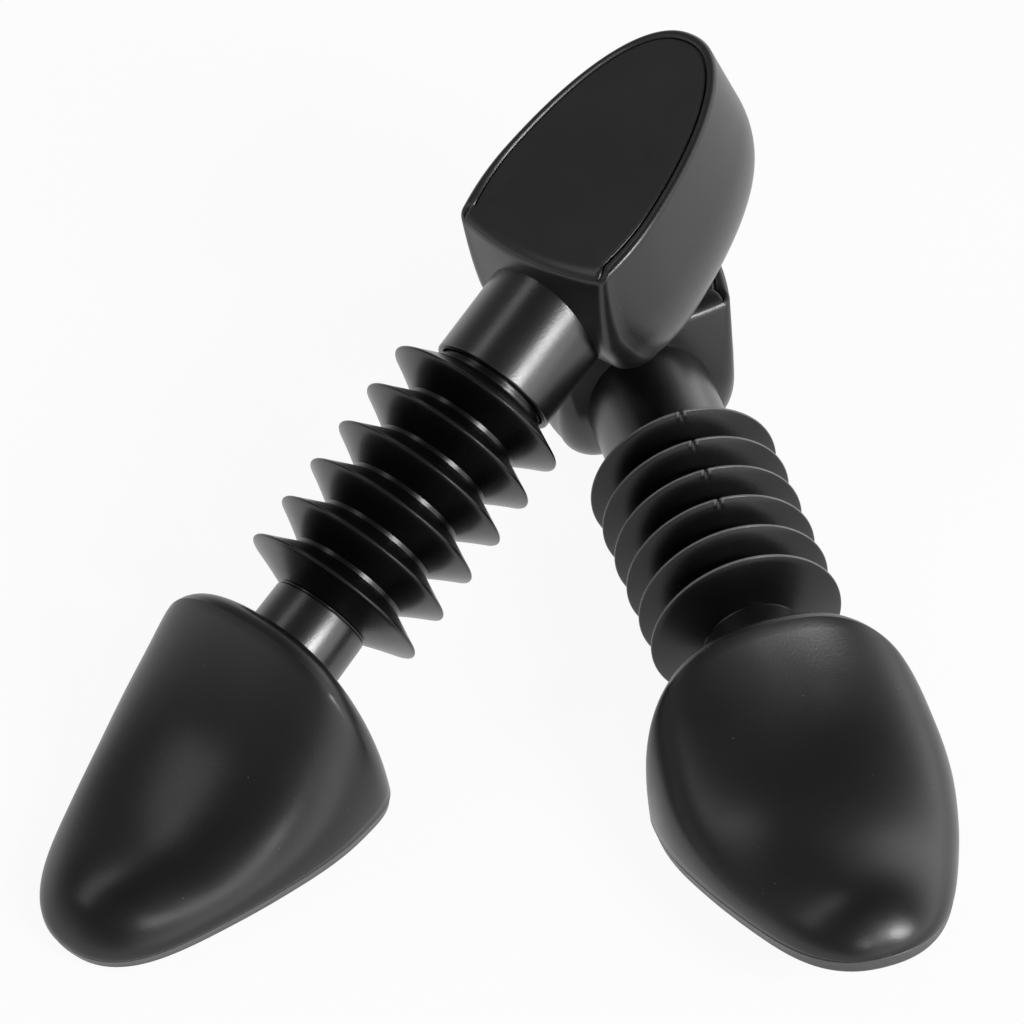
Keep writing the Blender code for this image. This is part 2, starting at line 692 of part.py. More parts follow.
def drop_gap(upper, lower):
    # The least vertical distance from the upper pieces down to the lower ones.
    least = math.inf
    up = Vector((0.0, 0.0, 1.0))
    for points, tree in lower:
        for above_points, above_tree in upper:
            for point in above_points:
                hit = tree.ray_cast(point + up, -up)
                if hit[0] is not None:
                    least = min(least, (point - hit[0]).z)
            for point in points:
                hit = above_tree.ray_cast(point - up, up)
                if hit[0] is not None:
                    least = min(least, (hit[0] - point).z)
    return least


def with_trees(pieces):
    seen = [world_points(piece) for piece in pieces]
    return [(points, BVHTree.FromPolygons(points, faces)) for points, faces in seen]


def lay_across(unit, pieces, lower_pieces, yaw, roll, place):
    # Lowers the left heel about its toe until it rests on the right stretcher.
    lower = with_trees(lower_pieces)
    touching = [piece for piece in pieces if "heel" in piece.name]
    low = PITCH_LOW
    high = PITCH_HIGH
    for _ in range(PITCH_STEPS):
        middle = (low + high) / 2.0
        lie_on_floor(unit, pieces, yaw, middle, roll, place)
        if drop_gap(with_trees(touching), lower) > REST_GAP:
            high = middle
        else:
            low = middle
    lie_on_floor(unit, pieces, yaw, high, roll, place)


def centre_on_origin(units, pieces):
    points = [point for piece in pieces for point in world_points(piece)[0]]
    middle_x = (min(point.x for point in points) + max(point.x for point in points)) / 2.0
    middle_y = (min(point.y for point in points) + max(point.y for point in points)) / 2.0
    for unit in units:
        unit.location.x -= middle_x
        unit.location.y -= middle_y


def main():
    clear_scene()
    parts = make_collection("shoe_stretcher")
    guides = make_collection("cutters")
    hard = make_material("satin_black_plastic", HARD_BLACK, 0.32)
    soft = make_material("bellows_black_plastic", SOFT_BLACK, 0.42)
    right_unit, right_pieces = build_stretcher("right", RIGHT_FOLD_PITCH, 0.0, parts, guides, hard, soft)
    left_unit, left_pieces = build_stretcher("left", LEFT_FOLD_PITCH, LEFT_HEEL_TURN, parts, guides,
                                             hard, soft)
    lie_on_floor(right_unit, right_pieces, RIGHT_YAW, -lie_angle(RIGHT_FOLD_PITCH), 0.0,
                 (RIGHT_PLACE_X, RIGHT_PLACE_Y))
    lay_across(left_unit, left_pieces, right_pieces, LEFT_YAW,
               LEFT_TOE_ROLL + LEFT_HEEL_TURN, (LEFT_PLACE_X, LEFT_PLACE_Y))
    centre_on_origin([right_unit, left_unit], right_pieces + left_pieces)
    bpy.context.view_layer.update()


main()
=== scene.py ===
import json
import math
import bpy
import bmesh
from mathutils import Matrix, Vector


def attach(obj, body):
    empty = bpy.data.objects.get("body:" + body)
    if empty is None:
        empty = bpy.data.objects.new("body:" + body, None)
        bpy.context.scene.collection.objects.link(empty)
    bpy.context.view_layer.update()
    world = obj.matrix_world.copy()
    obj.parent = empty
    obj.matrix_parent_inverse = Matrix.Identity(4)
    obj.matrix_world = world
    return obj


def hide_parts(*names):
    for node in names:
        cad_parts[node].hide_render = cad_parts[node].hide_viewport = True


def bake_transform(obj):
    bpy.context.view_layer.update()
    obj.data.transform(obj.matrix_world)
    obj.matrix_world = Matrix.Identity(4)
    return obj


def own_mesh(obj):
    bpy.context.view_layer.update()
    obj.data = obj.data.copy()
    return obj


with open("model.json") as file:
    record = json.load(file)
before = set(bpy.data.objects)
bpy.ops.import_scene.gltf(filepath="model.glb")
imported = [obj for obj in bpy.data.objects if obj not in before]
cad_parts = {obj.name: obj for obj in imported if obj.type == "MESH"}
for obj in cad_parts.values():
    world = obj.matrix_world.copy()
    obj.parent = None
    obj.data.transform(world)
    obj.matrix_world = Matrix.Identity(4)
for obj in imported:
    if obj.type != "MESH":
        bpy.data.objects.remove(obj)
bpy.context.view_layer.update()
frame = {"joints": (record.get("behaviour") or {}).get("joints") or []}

# All lengths are in metres. First the camera, in the frame that the arrangement was measured in
CAMERA_RISE = math.radians(48.061)
CAMERA_ROLL = math.radians(-4.779)
CAMERA_DISTANCE = 1.30411
CAMERA_LENS = 170.17
SENSOR = 36.0
RIGHT_TOE_PLACE = (0.0613, -0.0881)

# Neck, with places measured along the bellows axis from the toe's back
NECK_TILT = math.radians(15.2)
NECK_HEIGHT = 0.0282
NECK_SET_BACK = 0.0007
NECK_START = -0.0100
NECK_LENGTH = 0.0132
NECK_RADIUS = 0.0137
NECK_WALL = 0.0016
# How far the neck's rounded edge lies before its end and inside its radius
NECK_EDGE = ((0.0006, 0.0002), (0.0002, 0.0003), (0.0, 0.0006))
NECK_SEGMENTS = 128
TOE_TURN = {"left": math.radians(5.9), "right": 0.0}
FIT_GAP = 0.0003

# Bellows
FOLDS = 6
PITCH = {"left": 0.0123, "right": 0.0109}
FOLD_SEGMENTS = 176
RIM_RADIUS = 0.0255
VALLEY_RADIUS = 0.0163
WALL = 0.0011
FIRST_CONE = 0.0050
FIRST_CONE_TRIM = 0.0002
FIRST_VALLEY_DROP = 0.0004
LAST_CONE = 0.0025
LAST_FOLD_SHARE = 0.44
LIP_RADIUS = 0.00045
LIP_STEPS = 6
TOE_CONE_SHARE = 0.45
TOE_CONE_BOW = -0.00012
TOE_CONE_STEPS = 8
HEEL_CONE_SHARE = 0.42
HEEL_CONE_BOW = 0.0
HEEL_CONE_STEPS = 6
TOE_PLUG_LENGTH = 0.0080
TOE_PLUG_DROP = 0.0020
TOE_PLUG_STEP = 0.0001
TOE_PLUG_SHOULDER_DROP = 0.0005
HEEL_PLUG_RADIUS = 0.0153
HEEL_PLUG_LENGTH = 0.0100
HEEL_PLUG_START = 0.0009
# How far the last neck's points lie past the last cone and inside the valleys
LAST_NECK = ((-0.0002, 0.0), (0.0006, 0.0), (0.0008, 0.0003))

# Nicks on top of the right bellows' rims, from the third one on, and the band of painted highlight on the
# rims
NICK_FIRST_FOLD = 1.7
NICK_REACH = 0.12
NICK_CLEARANCE = 1.05
NICK_STEPS = 12
NICK_DEPTH = 0.0005
NICK_HALF_WIDTH = 0.0004
NICK_RISE_START = 0.0016
NICK_RISE_LENGTH = 0.0012
CHEEK_HEIGHT = 0.00016
CHEEK_PLACE = 0.0010
RIM_HIGHLIGHT_WIDTH = 0.00022
RIM_HIGHLIGHT_FADE = 0.00015

# Collar
COLLAR_LENGTH = 0.0222
COLLAR_RADIUS = 0.0173
COLLAR_WALL = 0.0030
COLLAR_EDGE = 0.0006
COLLAR_EDGE_STEPS = 4
COLLAR_EDGE_RUN = 0.0008
COLLAR_OVERRUN = 0.0095
COLLAR_BORE = 0.0156
COLLAR_BORE_DEPTH = 0.0120
# Places past the mouth, and radii, of the bore's rounded edge
COLLAR_BORE_EDGE = ((0.0, 0.0160), (0.0003, 0.0157))
COLLAR_SEGMENTS = 160

# Toe
TOE_LENGTH = 0.0893
TOE_HALF_WIDTH = 0.0380
TOE_HEIGHT = 0.0511
TOE_WIDEST = 0.0190
TOE_HIGHEST = 0.0094
TIP_WIDTH_SHARE = 0.71
TIP_ROUND_WIDTH_SHARE = 0.63
TIP_HEIGHT_SHARE = 0.21
TIP_ROUND_HEIGHT_SHARE = 0.36
WIDTH_POWER = 3.3
HEIGHT_POWER = 3.0
TIP_WIDTH_POWER = 2.25
TIP_HEIGHT_POWER = 2.2
BACK_WIDTH_POWER = 3.8
BACK_HEIGHT_POWER = 3.2
TIP_BULGE = 0.0041
TIP_BULGE_PLACE = 0.16
TIP_BULGE_LENGTH_POWER = 1.5
TIP_BULGE_WIDTH_POWER = 1.3
ARCH_POWERS = {"left": (2.6, 2.2), "right": (2.6, 2.45)}
ARCH_STEPS = 64
TIP_STATIONS = 44
BACK_STATIONS = 26
DOME_WALL = 0.0018

# Sole plate
SOLE = 0.0040
SEAM_HALF = 0.0001
PLATE_EDGE = 0.0011
PLATE_EDGE_STEPS = 6
PLATE_DRAFT = 0.0007
# How far the upper edge's loops are drawn in, and how far they lie below the plate's top
PLATE_TOP = ((0.0, 0.0002), (0.0001, 0.00005), (0.0003, 0.0), (0.0028, 0.0))
LEAST_MITRE = 0.5

# Heel block
HEEL_LENGTH = 0.0808
HALF_WIDTH = 0.0285
FRONT_HALF = 0.0223
TOP_HALF = 0.0278
TOP_FRONT_HALF = 0.0254
DRAW_SHARE = 0.30
ABOVE = 0.0233
BELOW = 0.0251
OUTLINE_POWER = 2.23
ROUND_POWER = 2.19
FRONT_BOW = 0.0032
TOP_CORNER = 0.0026
BOTTOM_CORNER = 0.0080
LEAST_CORNER = 0.0006
TOP_EDGE = 0.0016
LEAN = 0.0052
LEAN_POWER = 1.5
BOTTOM_INSET = 0.0115
BOTTOM_SLOPE = math.radians(0.994)
FRONT_STEPS = 12
CORNER_STEPS = 12
SIDE_STEPS = 48
FADE_STEPS = 13
BELLY_STEPS = 16
WALL_STEPS = 10
EDGE_STEPS = 8

# Heel lid, and the rim that it sits in
RIM_FLAT = 0.0012
LID_FRONT_EDGE = 0.0026
LID_SINK = 0.00018
LID_SEAM = ABOVE - 0.0013
LID_EDGE_START = ABOVE - LID_FRONT_EDGE
LID_SEAM_GAP = 0.00006
LID_FRONT_STEPS = 7
RIM_RUN = 0.0006
RIM_FRONT_TUCK = 0.0015
RIM_FRONT_DROP = 0.0010
LID_FRONT_TUCK = 0.0014
LID_FRONT_START = 0.00001
LID_FRONT_FLAT = 0.0008
LID_FRONT_SINK_SHARE = 0.1
LID_MIDDLE = 0.0060
LID_FRONT_MIDDLE = 0.0052
# Shares of the rim's flat that loops are drawn in by, and how far they drop
RIM_PROFILE = ((0.20, 0.0), (0.36, 0.0), (0.44, 0.0), (0.50, 0.00002), (0.56, 0.00007), (0.98, 0.00057),
               (1.04, 0.00075), (1.04, 0.0012))
LID_PROFILE = ((1.32, 0.0011), (1.32, 0.0008), (1.33, 0.00055), (1.36, 0.00038), (1.42, 0.00024),
               (1.51, 0.00013), (1.63, 0.00005), (1.78, 0.00001), (1.95, 0.0), (2.40, 0.0), (3.20, 0.0))

# Meshes
WELD_DISTANCE = 0.000004
SHARP_ANGLE = math.radians(32.0)
QUARTER = math.pi / 2.0

# Surfaces
PLASTIC_IOR = 1.53
CLOUD_SPAN = (0.35, 0.68)
CLOUD_TINT = (1.6, 1.6, 1.65)
SPECK_SCALE = 330.0
SPECK_SIZE = 0.055
SPECK_GREY = 0.10
SKIN_DEPTH = 0.0001
WAVE_SCALE = 55.0
WAVE_DEPTH = 0.001
# Colour of the painted highlight on the right bellows' rims
RIM_PAINTED_HIGHLIGHT_COLOUR = (0.14, 0.14, 0.142, 1.0)

# Stage
FLOOR_SIZE = 6.0
FLOOR_GAP = 0.0002
FLOOR_GREY = 0.88
FLOOR_GLOW_SHARE = 0.93
LAMP_DISTANCE = 1.4
LAMP_TARGET = Vector((0.0, 0.0, 0.04))
SKY_STRENGTH = 2.1
SKY_TURN = (-0.25, 0.45)
# Grey levels by height over the horizon, for the two halves of the sky
RIGHT_SKY = ((0.0, 1.0), (0.26, 0.82), (0.50, 0.36), (0.71, 0.12), (0.87, 0.07), (1.0, 0.045))
LEFT_SKY = ((0.0, 0.35), (0.26, 0.17), (0.50, 0.09), (0.71, 0.10), (0.87, 0.08), (1.0, 0.045))

SIDES = ("left", "right")
joints = {row["name"]: row for row in frame["joints"]}


# Places

def rim_place(side, fold):
    return NECK_LENGTH + FIT_GAP + FIRST_CONE + fold * PITCH[side]


def collar_mouth(side):
    return rim_place(side, FOLDS - 1) + LAST_FOLD_SHARE * PITCH["left"] + LAST_CONE - FIT_GAP


def unit_matrix(side):
    # The stretcher's own frame from its joints: X to the heel along the bellows, Z out of the lid.
    along = -Vector(joints[side + "_extend"]["axis"]).normalized()
    up = Vector(joints[side + "_bend"]["axis"]).normalized()
    across = up.cross(along).normalized()
    up = along.cross(across)
    matrix = Matrix((along, across, up)).transposed().to_4x4()
    matrix.translation = Vector(joints[side + "_bend"]["pos_m"]) - along * collar_mouth(side)
    return matrix


def toe_matrix(side):
    neck = Matrix.Translation((NECK_SET_BACK, 0.0, NECK_HEIGHT)) @ Matrix.Rotation(-NECK_TILT, 4, "Y")
    return unit_matrix(side) @ Matrix.Rotation(TOE_TURN[side], 4, "X") @ neck.inverted()


def heel_matrix(side):
    front = collar_mouth(side) + COLLAR_LENGTH + FIT_GAP
    return unit_matrix(side) @ Matrix.Translation((front, 0.0, 0.0))


# Meshes

def smooth(share):
    return share * share * (3.0 - 2.0 * share)


def new_mesh_object(name, points, faces, matrix):
    work = bmesh.new()
    verts = [work.verts.new(matrix @ Vector(p)) for p in points]
    for face in faces:
        work.faces.new([verts[i] for i in face])
    bmesh.ops.remove_doubles(work, verts=work.verts, dist=WELD_DISTANCE)
    bmesh.ops.recalc_face_normals(work, faces=work.faces)
    for face in work.faces:
        face.smooth = True
    mesh = bpy.data.meshes.new(name)
    work.to_mesh(mesh)
    work.free()
    mesh.set_sharp_from_angle(angle=SHARP_ANGLE)
    item = bpy.data.objects.new(name, mesh)
    bpy.context.scene.collection.objects.link(item)
    return item


def loft(loops, ring=False):
    # Quads between loops of equally many points: a ring of loops, or a stack with both ends closed.
    points = [p for loop in loops for p in loop]
    count = len(loops[0])
    rows = [range(k * count, (k + 1) * count) for k in range(len(loops))]
    pairs = list(zip(rows[:-1], rows[1:]))
    if ring:
        pairs.append((rows[-1], rows[0]))
    faces = []
    for low, high in pairs:
        for i in range(count):
            j = (i + 1) % count
            faces.append((low[i], low[j], high[j], high[i]))
    if not ring:
        faces.append(tuple(reversed(rows[0])))
        faces.append(tuple(rows[-1]))
    return points, faces


def revolve(profile, segments, warp=None):
    # A closed outline of (place, radius) points turned about X. A warp gets finer steps at the top.
    angles = [math.tau * i / segments for i in range(segments)]
    if warp:
        angles = [a for a in angles if abs(a - QUARTER) > NICK_REACH * NICK_CLEARANCE]
        angles += [QUARTER + NICK_REACH * i / NICK_STEPS for i in range(-NICK_STEPS, NICK_STEPS + 1)]
        angles.sort()
    loops = []
    for place, radius in profile:
        loop = []
        for angle in angles:
            x, r = warp(place, radius, angle) if warp else (place, radius)
            loop.append((x, r * math.cos(angle), r * math.sin(angle)))
        loops.append(loop)
    return loft(loops, ring=True)


def arc(centre, radius, start, end, steps):
    # Points (place, radius) on an arc; angles in degrees from +place towards +radius.
    angles = [math.radians(start + (end - start) * i / steps) for i in range(steps + 1)]
    return [(centre[0] + radius * math.cos(a), centre[1] + radius * math.sin(a)) for a in angles]


def curve(a, b, bulge, steps):
    # The inner points of a shallow arc from a to b that leaves the straight line by bulge halfway.
    dx, dy = b[0] - a[0], b[1] - a[1]
    length = math.hypot(dx, dy)
    nx, ny = -dy / length, dx / length
    out = []
    for i in range(1, steps):
        t = i / steps
        k = 4.0 * t * (1.0 - t) * bulge
        out.append((a[0] + dx * t + nx * k, a[1] + dy * t + ny * k))
    return out


# Materials

def add_node(tree, kind, values=None, **settings):
    # A new node with its settings, and then with the values of its inputs.
    node = tree.nodes.new(kind)
    for key, value in settings.items():
        setattr(node, key, value)
    for key, value in (values or {}).items():
        node.inputs[key].default_value = value
    return node


def join(tree, source, output, target, entry):
    tree.links.new(source.outputs[output], target.inputs[entry])


def fresh_tree(owner, output_kind):
    # The node tree of a material or world with nothing in it but its output.
    owner.use_nodes = True
    owner.node_tree.nodes.clear()
    return owner.node_tree, add_node(owner.node_tree, output_kind)


def grey(level):
    return (level, level, level, 1.0)


def plastic(name, colour, roughness, cloud, grain, grain_bump, wave_bump, dust, shine=0.5):
    # Black moulded plastic: a cloudy sheen, a fine skin, soft waviness and a few light specks.
    material = bpy.data.materials.new(name)
    tree, output = fresh_tree(material, "ShaderNodeOutputMaterial")
    shader = add_node(tree, "ShaderNodeBsdfPrincipled", {"IOR": PLASTIC_IOR, "Specular IOR Level": shine})
    join(tree, shader, "BSDF", output, "Surface")
    place = add_node(tree, "ShaderNodeTexCoord")

    clouds = add_node(tree, "ShaderNodeTexNoise", {"Scale": cloud, "Detail": 5.0, "Roughness": 0.6})
    join(tree, place, "Object", clouds, "Vector")
    spread = add_node(tree, "ShaderNodeMapRange", {"From Min": CLOUD_SPAN[0], "From Max": CLOUD_SPAN[1],
                                                   "To Min": roughness[0], "To Max": roughness[1]})
    join(tree, clouds, "Fac", spread, "Value")
    join(tree, spread, "Result", shader, "Roughness")

    specks = add_node(tree, "ShaderNodeTexVoronoi", {"Scale": SPECK_SCALE, "Randomness": 1.0})
    join(tree, place, "Object", specks, "Vector")
    small = add_node(tree, "ShaderNodeMath", {1: SPECK_SIZE}, operation="LESS_THAN")
    join(tree, specks, "Distance", small, 0)
    rare = add_node(tree, "ShaderNodeSeparateColor")
    join(tree, specks, "Color", rare, "Color")
    few = add_node(tree, "ShaderNodeMath", {1: dust}, operation="LESS_THAN")
    join(tree, rare, "Red", few, 0)
    both = add_node(tree, "ShaderNodeMath", operation="MULTIPLY")
    join(tree, small, "Value", both, 0)
    join(tree, few, "Value", both, 1)

    cloudy = tuple(level * share for level, share in zip(colour, CLOUD_TINT))
    tint = add_node(tree, "ShaderNodeMix", {"A": (*colour, 1.0), "B": (*cloudy, 1.0)}, data_type="RGBA")
    join(tree, clouds, "Fac", tint, "Factor")
    dusty = add_node(tree, "ShaderNodeMix", {"B": grey(SPECK_GREY)}, data_type="RGBA")
    join(tree, both, "Value", dusty, "Factor")
    join(tree, tint, "Result", dusty, "A")
    join(tree, dusty, "Result", shader, "Base Color")

    fine = add_node(tree, "ShaderNodeTexNoise", {"Scale": grain, "Detail": 3.0})
    join(tree, place, "Object", fine, "Vector")
    skin = add_node(tree, "ShaderNodeBump", {"Strength": grain_bump, "Distance": SKIN_DEPTH})
    join(tree, fine, "Fac", skin, "Height")
    broad = add_node(tree, "ShaderNodeTexNoise", {"Scale": WAVE_SCALE, "Detail": 1.0})
    join(tree, place, "Object", broad, "Vector")
    wave = add_node(tree, "ShaderNodeBump", {"Strength": wave_bump, "Distance": WAVE_DEPTH})
    join(tree, broad, "Fac", wave, "Height")
    join(tree, skin, "Normal", wave, "Normal")
    join(tree, wave, "Normal", shader, "Normal")
    return material


def paint_rim_highlight(material):
    # Painted highlight: the thin rims get a lighter colour than the folds where the mesh marks them, in
    # place of the lips' highlight.
    tree = material.node_tree
    shader = tree.nodes["Principled BSDF"]
    highlight_mark = add_node(tree, "ShaderNodeAttribute", attribute_name="rim")
    painted_rim_highlight = add_node(tree, "ShaderNodeMix", {"B": RIM_PAINTED_HIGHLIGHT_COLOUR}, data_type="RGBA")
    join(tree, highlight_mark, "Fac", painted_rim_highlight, "Factor")
    tree.links.new(shader.inputs["Base Color"].links[0].from_socket, painted_rim_highlight.inputs["A"])
    join(tree, painted_rim_highlight, "Result", shader, "Base Color")


DOME = plastic("dome_plastic", (0.0040, 0.0040, 0.0042), roughness=(0.27, 0.37), cloud=18.0,
               grain=1500.0, grain_bump=0.20, wave_bump=0.05, dust=0.10)
SATIN = plastic("satin_plastic", (0.0035, 0.0035, 0.0037), roughness=(0.27, 0.34), cloud=30.0,
                grain=1800.0, grain_bump=0.28, wave_bump=0.04, dust=0.012, shine=0.9)
BLOCK = plastic("block_plastic", (0.0090, 0.0090, 0.0092), roughness=(0.27, 0.34), cloud=24.0,
                grain=1700.0, grain_bump=0.28, wave_bump=0.04, dust=0.012)
FOLD = plastic("fold_plastic", (0.0015, 0.0015, 0.0016), roughness=(0.24, 0.32), cloud=30.0,
               grain=1300.0, grain_bump=0.18, wave_bump=0.03, dust=0.010, shine=0.4)
# The sole plate's lighter grey is a painted reflection, standing in for the white floor reflected on its
# side band.
SOLE_PAINTED_REFLECTION = plastic("sole_plastic_painted_reflection", (0.045, 0.045, 0.046), roughness=(0.38, 0.48), cloud=40.0,
                    grain=1700.0, grain_bump=0.35, wave_bump=0.03, dust=0.010)
paint_rim_highlight(FOLD)


def dress(item, material):
    item.data.materials.append(material)


# Toe: a domed shell over a thin sole

def rounded(share, reach, power):
    place = min(max(share / reach, 0.0), 1.0)
    return (1.0 - (1.0 - place) ** power) ** (1.0 / power)


def toe_half_width(x):
    if x <= -TOE_WIDEST:
        share = max((x + TOE_LENGTH) / (TOE_LENGTH - TOE_WIDEST), 0.0)
        growth = math.sin(share * QUARTER) ** WIDTH_POWER
        width = TIP_WIDTH_SHARE + (1.0 - TIP_WIDTH_SHARE) * growth
        return TOE_HALF_WIDTH * width * rounded(share, TIP_ROUND_WIDTH_SHARE, TIP_WIDTH_POWER)
    share = min((x + TOE_WIDEST) / TOE_WIDEST, 1.0)
    return TOE_HALF_WIDTH * (1.0 - share ** BACK_WIDTH_POWER) ** (1.0 / BACK_WIDTH_POWER)


def toe_rise(x):
    rise = TOE_HEIGHT - SOLE
    if x <= -TOE_HIGHEST:
        share = max((x + TOE_LENGTH) / (TOE_LENGTH - TOE_HIGHEST), 0.0)
        height = TIP_HEIGHT_SHARE + (1.0 - TIP_HEIGHT_SHARE) * share ** HEIGHT_POWER
        return rise * height * rounded(share, TIP_ROUND_HEIGHT_SHARE, TIP_HEIGHT_POWER)
    share = min((x + TOE_HIGHEST) / TOE_HIGHEST, 1.0)
    return rise * (1.0 - share ** BACK_HEIGHT_POWER) ** (1.0 / BACK_HEIGHT_POWER)


def tip_bulge(x, across):
    # The tip swells a little more along its middle than along its sides.
    share = max((x + TOE_LENGTH) / TOE_LENGTH, 0.0) / TIP_BULGE_PLACE
    along = (share * math.exp(1.0 - share)) ** TIP_BULGE_LENGTH_POWER
    return TIP_BULGE * along * max(1.0 - across * across, 0.0) ** TIP_BULGE_WIDTH_POWER


def toe_stations():
    # Places from the tip to the back, closer together at both ends.
    tip = [-TOE_LENGTH + (TOE_LENGTH - TOE_WIDEST) * (1.0 - math.cos(i / TIP_STATIONS * QUARTER))
           for i in range(TIP_STATIONS + 1)]
    back = [-TOE_WIDEST * (1.0 - math.sin(i / BACK_STATIONS * QUARTER))
            for i in range(1, BACK_STATIONS + 1)]
    return tip + back


def toe_dome(side):
    places = toe_stations()
    base = SOLE + SEAM_HALF
    near_power, far_power = ARCH_POWERS[side]
    points = [(places[0], 0.0, base), (places[-1], 0.0, base)]
    rows = []
    for x in places[1:-1]:
        row = []
        for i in range(ARCH_STEPS + 1):
            angle = math.pi * i / ARCH_STEPS
            power = near_power + (far_power - near_power) * smooth((1.0 - math.cos(angle)) / 2.0)
            across = math.copysign(abs(math.cos(angle)) ** (2.0 / power), math.cos(angle))
            over = 0.0 if i in (0, ARCH_STEPS) else math.sin(angle) ** (2.0 / power)
            row.append(len(points))
            height = base + toe_rise(x) * over + tip_bulge(x, across)
            points.append((x, toe_half_width(x) * across, height))
        rows.append(row)
    faces = []
    for i in range(ARCH_STEPS):
        faces.append((0, rows[0][i + 1], rows[0][i]))
        faces.append((1, rows[-1][i], rows[-1][i + 1]))
        for low, high in zip(rows[:-1], rows[1:]):
            faces.append((low[i], low[i + 1], high[i + 1], high[i]))
    item = new_mesh_object(side + "_toe_dome", points, faces, toe_matrix(side))
    wall = item.modifiers.new("Wall", "SOLIDIFY")
    wall.thickness = DOME_WALL
    wall.offset = -1.0
    dress(item, DOME)
    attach(item, side + "_toe")
    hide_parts(side + "_toe_shell")


def toe_outline():
    near = [Vector((x, toe_half_width(x))) for x in toe_stations()]
    far = [Vector((p.x, -p.y)) for p in reversed(near[1:-1])]
    return near + far


def inset(loop, distance):
    moved = []
    for i, p in enumerate(loop):
        before = (p - loop[i - 1]).normalized()
        after = (loop[(i + 1) % len(loop)] - p).normalized()
        along = (before + after).normalized()
        moved.append(p + Vector((along.y, -along.x)) * distance / max(along.dot(before), LEAST_MITRE))
    return moved


def toe_plate(side):
    # Levels (drawn in, height) over the rounded lower edge, the drafted side and the upper edge.
    levels = []
    for i in range(PLATE_EDGE_STEPS + 1):
        angle = i / PLATE_EDGE_STEPS * QUARTER
        drawn = PLATE_DRAFT + PLATE_EDGE * (1.0 - math.sin(angle))
        levels.append((drawn, PLATE_EDGE * (1.0 - math.cos(angle))))
    top = SOLE - SEAM_HALF
    levels.append((PLATE_DRAFT * 0.5, PLATE_EDGE + (top - PLATE_EDGE) * 0.5))
    levels += [(drawn, top - drop) for drawn, drop in PLATE_TOP]
    outline = toe_outline()
    loops = [[(p.x, p.y, height) for p in inset(outline, drawn)] for drawn, height in levels]
    points, faces = loft(loops)
    item = new_mesh_object(side + "_toe_plate", points, faces, toe_matrix(side))
    # The plate's side band carries the painted floor reflection.
    dress(item, SOLE_PAINTED_REFLECTION)
    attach(item, side + "_toe")
    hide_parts(side + "_toe_sole")


def neck_sleeve(side):
    inner = NECK_RADIUS - NECK_WALL
    profile = [(NECK_START, NECK_RADIUS), (0.0, NECK_RADIUS)]
    profile += [(NECK_LENGTH - back, NECK_RADIUS - drop) for back, drop in NECK_EDGE]
    profile += [(NECK_LENGTH, inner), (NECK_START, inner)]
    points, faces = revolve(profile, NECK_SEGMENTS)
    item = new_mesh_object(side + "_neck_sleeve", points, faces, unit_matrix(side))
    dress(item, SATIN)
    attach(item, side + "_toe")
    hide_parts(side + "_toe_neck")


# Bellows

def fold_outline(side, fold):
    # One fold's outside from its toe-side valley over the rim to its heel-side valley.
    pitch = PITCH[side]
    rim = rim_place(side, fold)
    low, cone = VALLEY_RADIUS, TOE_CONE_SHARE * pitch
    if fold == 0:
        low, cone = NECK_RADIUS - FIRST_VALLEY_DROP, FIRST_CONE - FIRST_CONE_TRIM
    heel_cone = HEEL_CONE_SHARE * pitch
    start = 180.0 - math.degrees(math.atan2(cone, RIM_RADIUS - low))
    end = math.degrees(math.atan2(heel_cone, RIM_RADIUS - VALLEY_RADIUS))
    over = arc((rim + LIP_RADIUS, RIM_RADIUS - LIP_RADIUS), LIP_RADIUS, start, end, LIP_STEPS)
    first = (rim - cone, low)
    last = (rim + LIP_RADIUS + heel_cone, VALLEY_RADIUS)
    toe_side = curve(first, over[0], TOE_CONE_BOW, TOE_CONE_STEPS)
    heel_side = curve(over[-1], last, HEEL_CONE_BOW, HEEL_CONE_STEPS)
    return [first] + toe_side + over + heel_side + [last]


def with_wall(outside):
    # An outside closed by the same line one wall further in.
    return outside + [(x, r - WALL) for x, r in reversed(outside)]


def long_outside(side):
    # The plug in the neck and the folds from the toe up to the last valley.
    shoulder = NECK_LENGTH + TOE_PLUG_STEP
    plug = NECK_RADIUS - TOE_PLUG_DROP
    outside = [(NECK_LENGTH - TOE_PLUG_LENGTH, plug), (shoulder, plug),
               (shoulder, NECK_RADIUS - TOE_PLUG_SHOULDER_DROP)]
    for fold in range(FOLDS - 1):
        outside += fold_outline(side, fold)
    outside.append((rim_place(side, FOLDS - 1) - TOE_CONE_SHARE * PITCH[side], VALLEY_RADIUS))
    return outside


def root_outside(side):
    # The last fold and the plug in the collar.
    foot = rim_place(side, FOLDS - 1) + LIP_RADIUS + HEEL_CONE_SHARE * PITCH[side]
    outside = fold_outline(side, FOLDS - 1)[:-1]
    outside += [(foot + past, VALLEY_RADIUS - drop) for past, drop in LAST_NECK]
    outside += [(foot + HEEL_PLUG_START, HEEL_PLUG_RADIUS),
                (collar_mouth(side) + HEEL_PLUG_LENGTH, HEEL_PLUG_RADIUS)]
    return outside


def nick(place, radius, angle):
    # The mould leaves a small nick with raised cheeks on top of the right bellows' heel-side rims.
    rise = min(max((radius - RIM_RADIUS + NICK_RISE_START) / NICK_RISE_LENGTH, 0.0), 1.0)
    if place < rim_place("right", NICK_FIRST_FOLD):
        rise = 0.0
    off = abs(angle - QUARTER) * RIM_RADIUS
    deep = NICK_DEPTH * math.exp(-(off / NICK_HALF_WIDTH) ** 2)
    cheek = CHEEK_HEIGHT * math.exp(-((off - CHEEK_PLACE) / NICK_HALF_WIDTH) ** 2)
    return place - rise * cheek, radius + rise * (cheek - deep)


